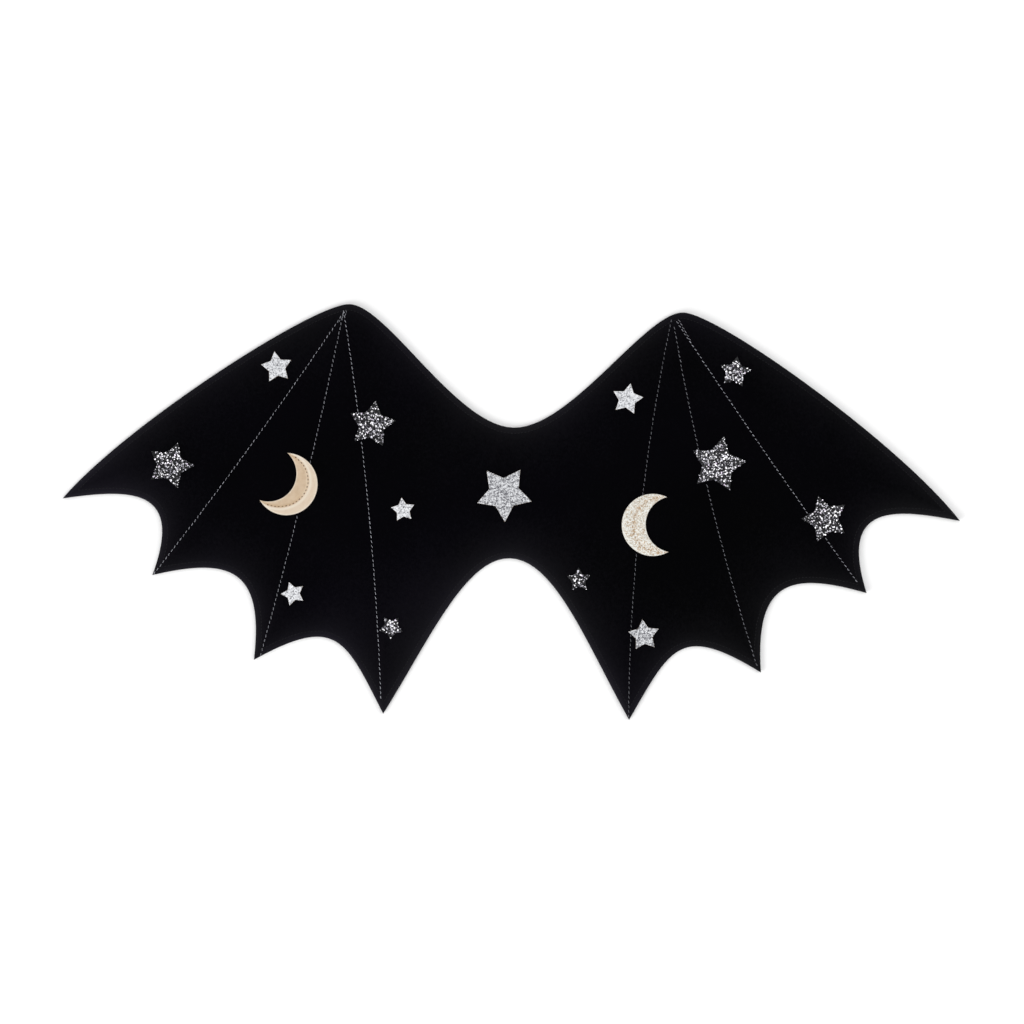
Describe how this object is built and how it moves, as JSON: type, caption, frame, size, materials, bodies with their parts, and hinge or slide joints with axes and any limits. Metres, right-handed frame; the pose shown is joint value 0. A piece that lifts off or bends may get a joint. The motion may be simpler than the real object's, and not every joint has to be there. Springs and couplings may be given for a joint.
{
  "type": "bat wings",
  "caption": "Padded velvet bat wings for a costume, scalloped along the lower edge, with stitched ribs, glitter star and moon patches, and flat arm straps behind.",
  "frame": {"origin": "middle of the outline at the surface that the back panel rests on", "axes": "+X from the left wing tip of the picture to the right wing tip, +Y from the waist edge up to the neck edge, +Z out of the front velvet"},
  "size_m": [0.76, 0.346, 0.0069],
  "materials": {
    "velvet": "black cotton velvet with a short soft nap",
    "lining": "black velvet, back layer",
    "silver_glitter": "fine silver glitter cloth",
    "flake_glitter": "chunky glitter cloth with silver, black and iridescent flakes",
    "gold_leather": "pale gold metallic leather, softly creased",
    "champagne_glitter": "fine champagne glitter cloth",
    "elastic": "black woven elastic"
  },
  "bodies": {
    "root": {"front_panel": "velvet", "back_panel": "lining", "left_silver_star_upper": "silver_glitter", "left_silver_star_inner": "silver_glitter", "left_silver_star_lower": "silver_glitter", "centre_star": "silver_glitter", "right_silver_star_upper": "silver_glitter", "right_silver_star_lower": "silver_glitter", "left_flake_star_outer": "flake_glitter", "left_flake_star_inner": "flake_glitter", "left_flake_star_lower": "flake_glitter", "right_flake_star_upper": "flake_glitter", "right_flake_star_large": "flake_glitter", "right_flake_star_outer": "flake_glitter", "right_flake_star_lower": "flake_glitter", "leather_moon": "gold_leather", "glitter_moon": "champagne_glitter", "left_arm_strap": "elastic", "right_arm_strap": "elastic"}
  },
  "joints": []
}
